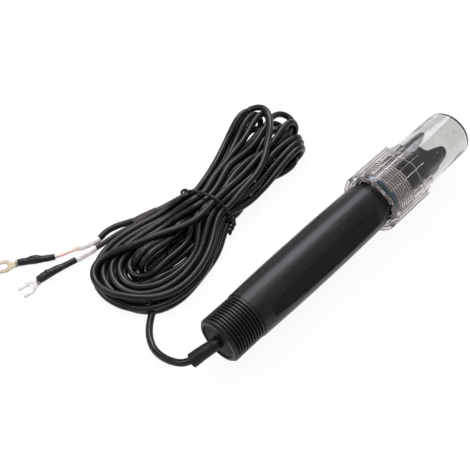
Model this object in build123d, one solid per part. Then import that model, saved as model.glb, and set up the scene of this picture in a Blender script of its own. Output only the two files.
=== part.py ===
from build123d import *
import math
import os

# In-line pH electrode with its storage bottle screwed on and its cable tied in a hank.
# Units are millimetres, +Z is up. The probe lies along X: the sensing tip is at +X and
# the cable leaves at -X. The floor is z = 0, which the storage bottle's collar rests on.
# The origin is below the middle of the probe and bottle.

os.makedirs("parts", exist_ok=True)

# Driving sizes. Places along the probe are stations, counted from the rear face of the
# barrel. The barrel takes up what the overall length leaves beside the bottle.

OVERALL_LENGTH = 200.0
BOTTLE_LENGTH = 77.5
COLLAR_GAP = 2.5

# barrel and its two screw threads
REAR_CREST_R = 13.22
FRONT_CREST_R = 13.0
THREAD_PITCH = 1.814
THREAD_DEPTH = 1.0
THREAD_CREST_FLAT = 0.6
THREAD_ROOT_FLAT = 0.3
REAR_THREAD_LENGTH = 21.0
REAR_CHAMFER = 1.3
BARREL_START_R = 13.62
BARREL_BULGE = 0.73
BARREL_SWELL_SHARE = 0.56
BARREL_FRONT_R = 14.3
BARREL_FRONT_CHAMFER = 0.7
NECK_LENGTH = 9.6
NECK_STEP = 0.8
FRONT_THREAD_LENGTH = 13.4

# label recess on the barrel
RECESS_ANGLE = 146.0
RECESS_DEPTH = 1.19
RECESS_SET_BACK = 7.5
RECESS_RAMP_LENGTH = 5.5
RECESS_FRONT_MARGIN = 1.0
RECESS_WIDTH = 13.0
RECESS_CORNER_SHARE = 0.385

# guard crown round the bulb
GUARD_LENGTH = 38.0
GUARD_WALL = 2.2
GUARD_MOUTH_DEPTH = 23.0
GUARD_SLOT_DEPTH = 14.0
GUARD_PRONGS = 4
GUARD_TURN = 51.0
GUARD_SLOT_ROUND = 3.2
GUARD_TIP_FLARE = 2.7
GUARD_TIP_ROUND = 1.0
PRONG_NOSE = 0.12

# cavity and what is in it
CAVITY_R = 9.6
PLUG_DEPTH = 14.0
PLUG_STEP = 1.0
PLUG_RECESS = 0.5
STEM_R = 4.0
STEM_WALL = 0.9
STEM_SET_BACK = 12.0
STEM_REACH = 6.0
BULB_STEP = 0.6
BULB_WALL = 0.6
JUNCTION_WIDTH = 3.0
FIT_GAP = 0.1
GEL_END_GAP = 1.0
SILVER_WIRE_R = 0.4
SILVER_WIRE_END_GAP = 6.0
REFERENCE_WIRE_R = 0.4
REFERENCE_WIRE_END_GAP = 45.0
STEM_CORK_LENGTH = 5.0

# sealing rings
SEAL_SET_BACK = 1.8
SEAL_WIDTH = 4.6
SEAL_PROUD = 0.4
SEAL_FIT = 0.15
SEAL_ROUND_SHARE = 0.7
BLUE_RING_WIDTH = 2.6
BLUE_RING_WALL = 1.0
BLUE_RING_CLEARANCE = 0.35
BLUE_RING_SEAT_GAP = 0.3

# storage bottle and its ribbed collar
SEAL_THREAD_CLEARANCE = 0.45
SEAL_BORE_CLEARANCE = 0.3
MOUTH_CLEARANCE = 0.3
MOUTH_DEPTH = 7.0
MOUTH_CHAMFER = 0.8
COLLAR_WALL = 2.25
COLLAR_LENGTH = 35.5
COLLAR_THREAD_RUN_OUT = 0.6
COLLAR_GROOVE_DEPTH = 0.7
RIM_BAND = 3.5
RIB_COUNT = 8
RIB_HEIGHT = 1.7
RIB_WIDTH = 4.0
RIB_TURN = 22.5
RIB_END_CHAMFER = 0.8
BOTTLE_WALL = 1.35
BOTTLE_DRAFT = 0.55
BOTTLE_TAPER_LENGTH = 22.0
BOTTLE_END_WALL = 1.8
BOTTLE_END_ROUND = 2.6
BOTTLE_INNER_ROUND = 1.4

# strain relief and cable
CABLE_R = 2.0
CABLE_ROOT_DEPTH = 11.0
SLEEVE_WALL = 1.1
SLEEVE_SOCKET_DEPTH = 3.5
SLEEVE_SOCKET_GAP = 0.5
SLEEVE_STRAIGHT = 3.0
SLEEVE_EXIT_SHARE = 0.42

# hank of cable and its tie
HANK_CORNER_SHARE = 0.46
TIE_STATION = 63.5
TIE_WIDTH = 2.0
TIE_THICKNESS = 1.3
TIE_CLEARANCE = 0.3

# split and leads
SPLIT_R = 2.9
SPLIT_LENGTH = 13.5
CORE_R = 0.95
SHIELD_CORE_R = 1.15
LEAD_TUBE_WALL = 0.75
SHRINK_WALL = 0.4
LEAD_FIT = 0.05
LEAD_CLEARANCE = 0.1
LEAD_STRAIGHT = 4.0

# fork terminals
FORK_PLATE = 0.8
FORK_SLOT = 4.3
FORK_SLOT_DEPTH = 6.2
FORK_PRONG_WIDTH = 1.85
FORK_PRONG_ROUND_SHARE = 0.48
FORK_THROAT = 1.4
FORK_NECK = 3.6
FORK_NECK_LENGTH = 3.2
FORK_BARREL_WALL = 0.45
FORK_BARREL_LENGTH = 5.0
FORK_BARREL_SHOWING = 1.0

OVERRUN = 1.0

# Derived places along the probe.

COLLAR_STATION = OVERALL_LENGTH - BOTTLE_LENGTH
BARREL_FRONT_STATION = COLLAR_STATION - COLLAR_GAP
FRONT_THREAD_STATION = BARREL_FRONT_STATION + NECK_LENGTH
FRONT_THREAD_END_STATION = FRONT_THREAD_STATION + FRONT_THREAD_LENGTH
SEAL_STATION = FRONT_THREAD_END_STATION + SEAL_SET_BACK
GUARD_TIP_STATION = FRONT_THREAD_END_STATION + GUARD_LENGTH
GUARD_FLOOR_STATION = GUARD_TIP_STATION - GUARD_MOUTH_DEPTH
GUARD_SLOT_STATION = GUARD_TIP_STATION - GUARD_SLOT_DEPTH
STEM_START_STATION = PLUG_DEPTH + STEM_SET_BACK
STEM_END_STATION = GUARD_FLOOR_STATION + STEM_REACH
JUNCTION_STATION = GUARD_FLOOR_STATION - JUNCTION_WIDTH
COLLAR_END_STATION = COLLAR_STATION + COLLAR_LENGTH
COLLAR_THREAD_STATION = COLLAR_STATION + MOUTH_DEPTH
COLLAR_THREAD_END_STATION = FRONT_THREAD_END_STATION + COLLAR_THREAD_RUN_OUT
BLUE_RING_STATION = COLLAR_THREAD_STATION - BLUE_RING_SEAT_GAP - BLUE_RING_WIDTH

# Derived radii, from the front thread outwards: what slides off over the guard and the
# thread clears both, and the bottle clears that.

GUARD_R = FRONT_CREST_R - THREAD_DEPTH
NECK_R = FRONT_CREST_R - NECK_STEP
SEAL_INNER_R = GUARD_R + SEAL_FIT
SEAL_R = FRONT_CREST_R + SEAL_PROUD
COLLAR_THREAD_R = SEAL_R + SEAL_THREAD_CLEARANCE
BOTTLE_BORE_R = SEAL_R + SEAL_BORE_CLEARANCE
BOTTLE_R = BOTTLE_BORE_R + BOTTLE_WALL
BOTTLE_SHOULDER_R = BOTTLE_R + BOTTLE_DRAFT
BLUE_RING_INNER_R = FRONT_CREST_R + BLUE_RING_CLEARANCE
BLUE_RING_R = BLUE_RING_INNER_R + BLUE_RING_WALL
COLLAR_MOUTH_R = BLUE_RING_R + MOUTH_CLEARANCE
COLLAR_BASE_R = COLLAR_MOUTH_R + COLLAR_WALL
COLLAR_R = COLLAR_BASE_R + RIB_HEIGHT
PLUG_R = CAVITY_R + PLUG_STEP
BULB_R = STEM_R + BULB_STEP
SLEEVE_R = CABLE_R + FIT_GAP + SLEEVE_WALL
SIGNAL_TUBE_R = CORE_R + LEAD_FIT + LEAD_TUBE_WALL
MARKER_R = SHIELD_CORE_R + LEAD_FIT + LEAD_TUBE_WALL
SPLIT_SPREAD = (SIGNAL_TUBE_R + SHIELD_CORE_R + LEAD_CLEARANCE) / 2
FORK_BARREL_R = SHIELD_CORE_R + FORK_BARREL_WALL

# the barrel bulges by its own amount over the mean of its two ends
BARREL_SWELL_R = (BARREL_START_R + BARREL_FRONT_R) / 2 + BARREL_BULGE

AXIS_Z = COLLAR_R
REAR_X = -OVERALL_LENGTH / 2


def at(station):
    """X of a station counted from the rear face."""
    return REAR_X + station


def lathe(points):
    """Solid of revolution about the probe's axis from (station, radius) corners."""
    outline = Polyline([(at(s), r) for s, r in points], close=True)
    face = make_face(Plane.XZ * outline)
    return Pos(0, 0, AXIS_Z) * revolve(face, Axis.X)


def ring(start, length, outer, inner):
    """Plain ring about the probe's axis."""
    return lathe([(start, inner), (start, outer), (start + length, outer), (start + length, inner)])


def rod(start, length, radius):
    """Plain round bar on the probe's axis."""
    return lathe([(start, 0), (start, radius), (start + length, radius), (start + length, 0)])


def groove_points(start, length, crest_r, depth):
    """Corners of a thread's crests and roots as (station, radius); inside depth is negative."""
    flank = (THREAD_PITCH - THREAD_CREST_FLAT - THREAD_ROOT_FLAT) / 2
    root_r = crest_r - depth
    corners = []
    count = int((length - THREAD_CREST_FLAT) / THREAD_PITCH)
    for i in range(count):
        crest_end = start + THREAD_CREST_FLAT + i * THREAD_PITCH
        corners.append((crest_end, crest_r))
        corners.append((crest_end + flank, root_r))
        corners.append((crest_end + flank + THREAD_ROOT_FLAT, root_r))
        corners.append((crest_end + THREAD_PITCH - THREAD_CREST_FLAT, crest_r))
    return corners


# Housing: barrel, threads, recess and guard in one piece.


def housing_body():
    """Rear thread, swelling barrel, neck with the front thread, and the guard tube."""
    barrel_end = BARREL_FRONT_STATION - BARREL_FRONT_CHAMFER
    barrel_length = barrel_end - REAR_THREAD_LENGTH
    swell_station = REAR_THREAD_LENGTH + BARREL_SWELL_SHARE * barrel_length
    rear_grooves_length = REAR_THREAD_LENGTH - REAR_CHAMFER

    rear = [(0, 0), (0, REAR_CREST_R - REAR_CHAMFER), (REAR_CHAMFER, REAR_CREST_R)]
    rear += groove_points(REAR_CHAMFER, rear_grooves_length, REAR_CREST_R, THREAD_DEPTH)
    rear.append((REAR_THREAD_LENGTH, REAR_CREST_R))
    rear.append((REAR_THREAD_LENGTH, BARREL_START_R))

    front = [(barrel_end, BARREL_FRONT_R)]
    front.append((BARREL_FRONT_STATION, BARREL_FRONT_R - BARREL_FRONT_CHAMFER))
    front.append((BARREL_FRONT_STATION, NECK_R))
    front.append((FRONT_THREAD_STATION, NECK_R))
    front.append((FRONT_THREAD_STATION, FRONT_CREST_R))
    front += groove_points(FRONT_THREAD_STATION, FRONT_THREAD_LENGTH, FRONT_CREST_R, THREAD_DEPTH)
    front.append((FRONT_THREAD_END_STATION, FRONT_CREST_R))
    front.append((FRONT_THREAD_END_STATION, GUARD_R))
    front.append((GUARD_TIP_STATION - GUARD_TIP_ROUND, GUARD_R))
    front.append((GUARD_TIP_STATION, GUARD_R - GUARD_TIP_ROUND))
    front.append((GUARD_TIP_STATION, 0))

    lines = Polyline([(at(s), r) for s, r in rear])
    lines += ThreePointArc(
        (at(REAR_THREAD_LENGTH), BARREL_START_R),
        (at(swell_station), BARREL_SWELL_R),
        (at(barrel_end), BARREL_FRONT_R),
    )
    lines += Polyline([(at(s), r) for s, r in front])
    lines += Line((at(GUARD_TIP_STATION), 0), (at(0), 0))
    body = revolve(make_face(Plane.XZ * lines), Axis.X)
    return Pos(0, 0, AXIS_Z) * body


def label_recess():
    """Shallow flat for a label: rounded rear end, long ramp at the front end."""
    plane_r = BARREL_SWELL_R - RECESS_DEPTH
    reach = max(BARREL_SWELL_R, BARREL_FRONT_R) + OVERRUN
    start = REAR_THREAD_LENGTH + RECESS_SET_BACK
    end = BARREL_FRONT_STATION - RECESS_FRONT_MARGIN
    side = Polyline(
        (at(start), plane_r),
        (at(end - RECESS_RAMP_LENGTH), plane_r),
        (at(end), BARREL_FRONT_R),
        (at(end), reach),
        (at(start), reach),
        close=True,
    )
    slab = extrude(make_face(Plane.XZ * side), RECESS_WIDTH / 2, both=True)
    rear_edges = slab.edges().filter_by(Axis.Z).group_by(Axis.X)[0]
    slab = fillet(rear_edges, RECESS_CORNER_SHARE * RECESS_WIDTH)
    return Pos(0, 0, AXIS_Z) * Rot(RECESS_ANGLE - 90, 0, 0) * slab


def slot_cutter():
    """Rounded V through the guard tube that leaves round-nosed prongs on both sides."""
    tip_half = GUARD_R * math.sin(math.pi / GUARD_PRONGS) - PRONG_NOSE
    half_open = tip_half - GUARD_TIP_FLARE
    flare_start = GUARD_TIP_STATION - GUARD_TIP_FLARE
    top = GUARD_TIP_STATION + OVERRUN
    centre_x = GUARD_SLOT_STATION + GUARD_SLOT_ROUND
    shape = Polyline(
        (at(centre_x), -GUARD_SLOT_ROUND),
        (at(flare_start), -half_open),
        (at(GUARD_TIP_STATION), -tip_half),
        (at(top), -tip_half),
        (at(top), tip_half),
        (at(GUARD_TIP_STATION), tip_half),
        (at(flare_start), half_open),
        (at(centre_x), GUARD_SLOT_ROUND),
        close=True,
    )
    flat = make_face(shape)
    flat += Pos(at(centre_x), 0) * Circle(GUARD_SLOT_ROUND)
    flare_corners = flat.vertices().filter_by(lambda v: abs(v.X - at(flare_start)) < FIT_GAP)
    flat = fillet(flare_corners, GUARD_TIP_FLARE)
    return extrude(flat, GUARD_R + OVERRUN, both=True)


def make_housing():
    """Barrel in one piece with cavity, plug seat, label recess and guard crown."""
    body = housing_body()
    body -= rod(-OVERRUN, PLUG_DEPTH + OVERRUN, PLUG_R)
    body -= rod(PLUG_DEPTH, GUARD_FLOOR_STATION - PLUG_DEPTH, CAVITY_R)
    body -= rod(GUARD_FLOOR_STATION, GUARD_MOUTH_DEPTH + OVERRUN, GUARD_R - GUARD_WALL)
    body -= label_recess()
    for i in range(GUARD_PRONGS // 2):
        turn = GUARD_TURN + (i + 1 / 2) * 360 / GUARD_PRONGS - 90
        body -= Pos(0, 0, AXIS_Z) * Rot(turn, 0, 0) * slot_cutter()
    return body


housing = make_housing()

# Inside the barrel.

potting_plug = rod(PLUG_RECESS, PLUG_DEPTH - PLUG_RECESS, PLUG_R)

stem_length = STEM_END_STATION - STEM_START_STATION
glass_stem = ring(STEM_START_STATION, stem_length, STEM_R, STEM_R - STEM_WALL)

# round pH-sensitive membrane blown on the end of the stem, open towards it
bulb_x = at(STEM_END_STATION + math.sqrt(BULB_R**2 - STEM_R**2))
bulb_ball = Pos(bulb_x, 0, AXIS_Z) * Sphere(BULB_R)
bulb_ball -= Pos(bulb_x, 0, AXIS_Z) * Sphere(BULB_R - BULB_WALL)
glass_bulb = bulb_ball - rod(STEM_END_STATION - BULB_R, BULB_R, BULB_R + OVERRUN)

junction_ring = ring(JUNCTION_STATION, JUNCTION_WIDTH, CAVITY_R, STEM_R + FIT_GAP)

gel_start = PLUG_DEPTH + GEL_END_GAP
reference_gel = rod(gel_start, JUNCTION_STATION - gel_start, CAVITY_R - FIT_GAP)
gel_bore_start = STEM_START_STATION - FIT_GAP
reference_gel -= rod(gel_bore_start, JUNCTION_STATION - gel_bore_start, STEM_R + FIT_GAP)

# the reference wire runs half-way between the stem and the cavity's wall
wire_y = (STEM_R + CAVITY_R) / 2
wire_length = JUNCTION_STATION - REFERENCE_WIRE_END_GAP - PLUG_DEPTH
wire_mid = at(PLUG_DEPTH + wire_length / 2)
wire_bar = Cylinder(REFERENCE_WIRE_R, wire_length, rotation=(0, 90, 0))
reference_wire = Pos(wire_mid, wire_y, AXIS_Z) * wire_bar
gel_hole = Cylinder(REFERENCE_WIRE_R + FIT_GAP, wire_length, rotation=(0, 90, 0))
reference_gel -= Pos(wire_mid + FIT_GAP, wire_y, AXIS_Z) * gel_hole

stem_cork = rod(STEM_START_STATION, STEM_CORK_LENGTH, STEM_R - STEM_WALL)
stem_cork -= rod(STEM_START_STATION, STEM_CORK_LENGTH, SILVER_WIRE_R)
silver_wire = rod(STEM_START_STATION, stem_length - SILVER_WIRE_END_GAP, SILVER_WIRE_R)

# Storage bottle and the two rings in it.


def bottle_outside():
    """Ribbed collar with a plain rim band, shoulder and drafted body with a round end."""
    band_end = COLLAR_STATION + RIM_BAND
    body = ring(COLLAR_STATION, RIM_BAND, COLLAR_R, 0)
    rib_sketch = Circle(COLLAR_BASE_R)
    for i in range(RIB_COUNT):
        angle = RIB_TURN + i * 360 / RIB_COUNT
        bar = Pos(COLLAR_R / 2, 0) * Rectangle(COLLAR_R, RIB_WIDTH)
        rib_sketch += Rot(0, 0, angle) * bar
    rib_sketch &= Circle(COLLAR_R)
    ribs = Plane((at(band_end), 0, AXIS_Z), x_dir=(0, 1, 0), z_dir=(1, 0, 0)) * rib_sketch
    ribbed = extrude(ribs, COLLAR_LENGTH - RIM_BAND)
    envelope = lathe(
        [
            (band_end, 0),
            (band_end, COLLAR_R),
            (COLLAR_END_STATION - RIB_END_CHAMFER, COLLAR_R),
            (COLLAR_END_STATION, COLLAR_R - RIB_END_CHAMFER),
            (COLLAR_END_STATION, 0),
        ]
    )
    body += ribbed & envelope
    taper_end = COLLAR_END_STATION + BOTTLE_TAPER_LENGTH
    shell = lathe(
        [
            (COLLAR_END_STATION, 0),
            (COLLAR_END_STATION, BOTTLE_SHOULDER_R),
            (taper_end, BOTTLE_R),
            (OVERALL_LENGTH, BOTTLE_R),
            (OVERALL_LENGTH, 0),
        ]
    )
    rim = shell.edges().filter_by(GeomType.CIRCLE).group_by(Axis.X)[-1]
    shell = fillet(rim, BOTTLE_END_ROUND)
    return body + shell


def bottle_inside():
    """Mouth counterbore, grooved thread bore and the solution chamber with a round end."""
    inner_end = OVERALL_LENGTH - BOTTLE_END_WALL
    chamber = lathe(
        [
            (COLLAR_THREAD_END_STATION, 0),
            (COLLAR_THREAD_END_STATION, BOTTLE_BORE_R),
            (inner_end, BOTTLE_BORE_R),
            (inner_end, 0),
        ]
    )
    end_rim = chamber.edges().filter_by(GeomType.CIRCLE).group_by(Axis.X)[-1]
    chamber = fillet(end_rim, BOTTLE_INNER_ROUND)
    # the collar's grooves lie opposite the crests of the thread in it
    grooves_start = FRONT_THREAD_STATION + THREAD_PITCH / 2
    grooves_length = COLLAR_THREAD_END_STATION - grooves_start
    mouth = [(COLLAR_STATION - OVERRUN, 0)]
    mouth.append((COLLAR_STATION - OVERRUN, COLLAR_MOUTH_R + MOUTH_CHAMFER + OVERRUN))
    mouth.append((COLLAR_STATION + MOUTH_CHAMFER, COLLAR_MOUTH_R))
    mouth.append((COLLAR_THREAD_STATION, COLLAR_MOUTH_R))
    mouth.append((COLLAR_THREAD_STATION, COLLAR_THREAD_R))
    mouth += groove_points(grooves_start, grooves_length, COLLAR_THREAD_R, -COLLAR_GROOVE_DEPTH)
    mouth.append((COLLAR_THREAD_END_STATION, COLLAR_THREAD_R))
    mouth.append((COLLAR_THREAD_END_STATION, 0))
    return chamber + lathe(mouth)


storage_bottle = bottle_outside() - bottle_inside()

blue_ring = ring(BLUE_RING_STATION, BLUE_RING_WIDTH, BLUE_RING_R, BLUE_RING_INNER_R)

seal_ring = ring(SEAL_STATION, SEAL_WIDTH, SEAL_R, SEAL_INNER_R)
seal_rims = seal_ring.edges().filter_by(GeomType.CIRCLE).sort_by(SortBy.RADIUS)[-2:]
seal_ring = fillet(seal_rims, SEAL_ROUND_SHARE * (SEAL_R - SEAL_INNER_R))

# Helpers for cords: a route of points becomes runs joined by tangent arcs.


def place(point):
    """A (station, y, z) point as a position."""
    return Vector(at(point[0]), point[1], point[2])


def bend_radii(points):
    """Radius at each corner: 0.45 of the shorter run, over the tangent of half the turn."""
    radii = []
    for before, corner, after in zip(points, points[1:], points[2:]):
        run_in = corner - before
        run_out = after - corner
        half_turn = math.radians(run_in.get_angle(run_out)) / 2
        radii.append(0.45 * min(run_in.length, run_out.length) / math.tan(half_turn))
    return radii


def cord_path(name, route):
    """Straight runs joined by tangent arcs."""
    points = [place(p) for p in route]
    radii = bend_radii(points)
    print(name, "arc radii", [round(r, 1) for r in radii])
    return FilletPolyline(*points, radius=radii)


def cord_tube(path, outer, inner=0):
    """Round tube or rod along a path."""
    section = Plane(path @ 0, z_dir=path % 0) * Circle(outer)
    if inner:
        section -= Plane(path @ 0, z_dir=path % 0) * Circle(inner)
    return sweep(section, path)


def bar_between(start, end, outer, inner=0):
    """Straight round bar or tube between two (station, y, z) points."""
    a = place(start)
    b = place(end)
    frame = Plane(a, z_dir=b - a)
    length = (b - a).length
    bar = extrude(frame * Circle(outer), length)
    if inner:
        bar -= extrude(frame * Circle(inner), length)
    return bar


# Strain relief at the rear face, with the cable through it.

SLEEVE_TIP = (-12.8, 4.3, 12.2)
SLEEVE_ROUTE = [
    (SLEEVE_SOCKET_DEPTH, 0, AXIS_Z),
    (-SLEEVE_STRAIGHT, 0, AXIS_Z),
    SLEEVE_TIP,
]
sleeve_path = cord_path("strain relief", SLEEVE_ROUTE)
sleeve_run = [SLEEVE_TIP[i] - SLEEVE_ROUTE[1][i] for i in range(3)]
SLEEVE_EXIT = tuple(SLEEVE_TIP[i] + SLEEVE_EXIT_SHARE * sleeve_run[i] for i in range(3))
strain_relief = cord_tube(sleeve_path, SLEEVE_R, SLEEVE_R - SLEEVE_WALL)
socket_r = SLEEVE_R + SLEEVE_SOCKET_GAP
potting_plug -= rod(0, SLEEVE_SOCKET_DEPTH, socket_r)

ROOT_ROUTE = [(CABLE_ROOT_DEPTH, 0, AXIS_Z), (SLEEVE_SOCKET_DEPTH, 0, AXIS_Z)]
cable_root = cord_tube(sleeve_path, CABLE_R) + bar_between(*ROOT_ROUTE, CABLE_R)
potting_plug -= rod(SLEEVE_SOCKET_DEPTH, CABLE_ROOT_DEPTH - SLEEVE_SOCKET_DEPTH, CABLE_R)

# Cable on the floor: the lead into the hank and the tail out of it.

LEAD_ROUTE = [
    SLEEVE_TIP,
    SLEEVE_EXIT,
    (-19.0, 9.9, 6.7),
    (-20.8, 17.6, 3.9),
    (-20.4, 26.9, 2.4),
    (-15.9, 35.6, 2.2),
    (-8.8, 42.2, 2.4),
    (-0.6, 46.6, 3.4),
]
lead_path = cord_path("cable lead", LEAD_ROUTE)
cable_lead = cord_tube(lead_path, CABLE_R)

TAIL_ROUTE = [
    (66.0, 84.5, 9.6),
    (58.6, 88.6, 6.6),
    (50.6, 91.6, 3.1),
    (42.0, 93.4, 3.1),
]
tail_path = cord_path("cable tail", TAIL_ROUTE)
cable_tail = cord_tube(tail_path, CABLE_R)

# Hank: its outer shape as one closed solid, and the tie round its waist.

# each row is station, lowest y, highest y, underside z, top z of the hank there
HANK_SECTIONS = [
    (-20.5, 57.0, 77.0, 0.6, 6.5),
    (-14.0, 47.0, 88.0, 0.0, 11.5),
    (2.0, 38.5, 93.0, 0.0, 15.0),
    (22.0, 39.0, 92.0, 0.0, 17.0),
    (43.0, 46.0, 89.5, 0.0, 18.5),
    (TIE_STATION, 52.5, 87.5, TIE_THICKNESS, 20.0),
    (84.0, 56.5, 91.5, 0.0, 19.5),
    (108.0, 56.0, 99.0, 0.0, 18.0),
    (132.0, 57.0, 107.5, 0.0, 15.5),
    (147.0, 66.0, 104.0, 0.0, 12.0),
    (156.0, 77.0, 94.0, 0.8, 7.5),
]


def hank_section(row, grow=0):
    """Rounded upright section of the hank, facing along X."""
    station, y_low, y_high, z_low, z_high = row
    width = y_high - y_low + 2 * grow
    height = z_high - z_low + 2 * grow
    corner = HANK_CORNER_SHARE * min(width, height)
    centre = (at(station), (y_low + y_high) / 2, (z_low + z_high) / 2)
    frame = Plane(centre, x_dir=(0, 1, 0), z_dir=(1, 0, 0))
    return frame * RectangleRounded(width, height, corner)


def make_hank():
    """Closed solid of the hank's outer shape, narrow where it is tied."""
    return loft([hank_section(row) for row in HANK_SECTIONS], ruled=True)


tie_row = [row for row in HANK_SECTIONS if row[0] == TIE_STATION][0]
tie_outer = extrude(hank_section(tie_row, TIE_THICKNESS), TIE_WIDTH / 2, both=True)
tie_inner = extrude(hank_section(tie_row, TIE_CLEARANCE), TIE_WIDTH / 2, both=True)
tie_band = tie_outer - tie_inner

cable_coil = make_hank()
cable_coil -= cable_lead
cable_coil -= cable_tail
twist_tie = tie_band - cable_tail

# Split and leads.


def stations_between(start, end, share):
    """Point a share of the way from one (station, y, z) point to the next."""
    return tuple(start[i] + share * (end[i] - start[i]) for i in range(3))


def beyond(start, end, length):
    """Point past the end of a run, in line with it."""
    run = place(end) - place(start)
    return stations_between(start, end, 1 + length / run.length)


def route_part(route, first, first_share, last, last_share):
    """The stretch of a route from a share of one run to a share of a later run."""
    points = [place(p) for p in route]
    radii = bend_radii(points)
    corners = [route[i] for i in range(first + 1, last + 1)]
    start = stations_between(route[first], route[first + 1], first_share)
    end = stations_between(route[last], route[last + 1], last_share)
    if not corners:
        return Line(place(start), place(end))
    stretch = [place(p) for p in [start] + corners + [end]]
    return FilletPolyline(*stretch, radius=radii[first:last])


split_end = beyond(TAIL_ROUTE[-2], TAIL_ROUTE[-1], SPLIT_LENGTH)
split_sleeve = bar_between(TAIL_ROUTE[-1], split_end, SPLIT_R)
split_run = (place(split_end) - place(TAIL_ROUTE[-1])).normalized()


def lead_start(side, reach):
    """Point on one lead where it leaves the split, or past it along the split's line."""
    x = split_end[0] + reach * split_run.X - side * SPLIT_SPREAD * split_run.Y
    y = split_end[1] + reach * split_run.Y + side * SPLIT_SPREAD * split_run.X
    return (x, y, split_end[2])


SIGNAL_ROUTE = [
    lead_start(-1, 0),
    lead_start(-1, LEAD_STRAIGHT),
    (20.4, 103.4, 2.3),
    (13.0, 106.8, 2.1),
    (6.0, 103.6, 2.1),
    (-0.5, 104.6, 2.1),
    (-8.4, 106.4, 2.1),
    (-15.8, 109.4, 2.1),
    (-22.0, 113.0, 2.1),
    (-28.4, 118.0, 2.1),
    (-36.6, 123.4, 2.1),
]
SHIELD_ROUTE = [
    lead_start(1, 0),
    lead_start(1, LEAD_STRAIGHT),
    (16.4, 98.2, 2.3),
    (6.0, 99.2, 2.1),
    (-5.0, 100.0, 2.1),
    (-17.0, 101.8, 2.1),
    (-24.5, 104.0, 2.1),
    (-35.5, 104.9, 2.1),
]

signal_core = cord_tube(cord_path("signal core", SIGNAL_ROUTE), CORE_R)
shield_core = cord_tube(cord_path("shield core", SHIELD_ROUTE), SHIELD_CORE_R)


def on_lead(route, first, first_share, last, last_share, outer, core):
    """Sleeve slipped over a stretch of a lead."""
    path = route_part(route, first, first_share, last, last_share)
    return cord_tube(path, outer, core + LEAD_FIT)


signal_tube = on_lead(SIGNAL_ROUTE, 0, 0, 3, 0.5, SIGNAL_TUBE_R, CORE_R)
signal_marker = on_lead(SIGNAL_ROUTE, 3, 0.51, 5, 0.5, MARKER_R, CORE_R)
shield_marker = on_lead(SHIELD_ROUTE, 3, 0.5, 4, 0.5, MARKER_R, SHIELD_CORE_R)


def shrink_on(route, first, first_share, core):
    """Heat-shrink from a run's middle to the terminal, wider over the terminal's barrel."""
    last = len(route) - 2
    end = beyond(route[-2], route[-1], -FORK_BARREL_SHOWING)
    hood_length = FORK_BARREL_LENGTH + SHRINK_WALL
    hood_start = beyond(route[-2], route[-1], -hood_length)
    barrel_start = beyond(route[-2], route[-1], -FORK_BARREL_LENGTH)
    last_run = place(route[-1]) - place(route[-2])
    hood_share = 1 - hood_length / last_run.length
    thin = on_lead(route, first, first_share, last, hood_share, core + LEAD_FIT + SHRINK_WALL, core)
    hood = bar_between(hood_start, end, FORK_BARREL_R + LEAD_FIT + SHRINK_WALL)
    hood -= bar_between(barrel_start, end, FORK_BARREL_R + LEAD_FIT)
    hood -= bar_between(hood_start, barrel_start, core + LEAD_FIT)
    return thin + hood


def fork_on(route, core):
    """Fork terminal: crimp barrel round the wire's end, neck, and a two-pronged tongue."""
    tip = place(route[-1])
    run = (tip - place(route[-2])).normalized()
    barrel_start = beyond(route[-2], route[-1], -FORK_BARREL_LENGTH)
    barrel = bar_between(barrel_start, route[-1], FORK_BARREL_R, core)
    half = FORK_SLOT / 2 + FORK_PRONG_WIDTH
    root = FORK_NECK_LENGTH
    tongue_start = LEAD_FIT - FORK_BARREL_SHOWING
    outline = Pos((tongue_start + root) / 2, 0) * Rectangle(root - tongue_start, FORK_NECK)
    end = root + FORK_THROAT + FORK_SLOT_DEPTH
    blade = Polyline(
        (root - FORK_NECK / 2, FORK_NECK / 2),
        (root + half / 2, half),
        (end, half),
        (end, -half),
        (root + half / 2, -half),
        (root - FORK_NECK / 2, -FORK_NECK / 2),
        close=True,
    )
    outline += make_face(blade)
    slot_centre = end - FORK_SLOT_DEPTH + FORK_SLOT / 2
    outline -= Pos(slot_centre, 0) * Circle(FORK_SLOT / 2)
    slot_length = end - slot_centre + OVERRUN
    outline -= Pos(slot_centre + slot_length / 2, 0) * Rectangle(slot_length, FORK_SLOT)
    tips = outline.vertices().group_by(Axis.X)[-1]
    outline = fillet(tips, FORK_PRONG_ROUND_SHARE * FORK_PRONG_WIDTH)
    underside = tip.Z - FORK_BARREL_R
    frame = Plane((tip.X, tip.Y, underside), x_dir=(run.X, run.Y, 0), z_dir=(0, 0, 1))
    tongue = extrude(frame * outline, FORK_PLATE)
    bore = bar_between(barrel_start, route[-1], core)
    return barrel + (tongue - bore)


signal_shrink = shrink_on(SIGNAL_ROUTE, 7, 0.5, CORE_R)
shield_shrink = shrink_on(SHIELD_ROUTE, 4, 0.55, SHIELD_CORE_R)
signal_fork = fork_on(SIGNAL_ROUTE, CORE_R)
shield_fork = fork_on(SHIELD_ROUTE, SHIELD_CORE_R)

# Write the files.

nodes = {
    "housing": housing,
    "potting_plug": potting_plug,
    "glass_stem": glass_stem,
    "glass_bulb": glass_bulb,
    "junction_ring": junction_ring,
    "reference_gel": reference_gel,
    "reference_wire": reference_wire,
    "stem_cork": stem_cork,
    "silver_wire": silver_wire,
    "storage_bottle": storage_bottle,
    "blue_ring": blue_ring,
    "seal_ring": seal_ring,
    "strain_relief": strain_relief,
    "cable_root": cable_root,
    "cable_lead": cable_lead,
    "cable_coil": cable_coil,
    "cable_tail": cable_tail,
    "twist_tie": twist_tie,
    "split_sleeve": split_sleeve,
    "signal_core": signal_core,
    "signal_tube": signal_tube,
    "signal_marker": signal_marker,
    "signal_shrink": signal_shrink,
    "signal_fork": signal_fork,
    "shield_core": shield_core,
    "shield_marker": shield_marker,
    "shield_shrink": shield_shrink,
    "shield_fork": shield_fork,
}

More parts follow.
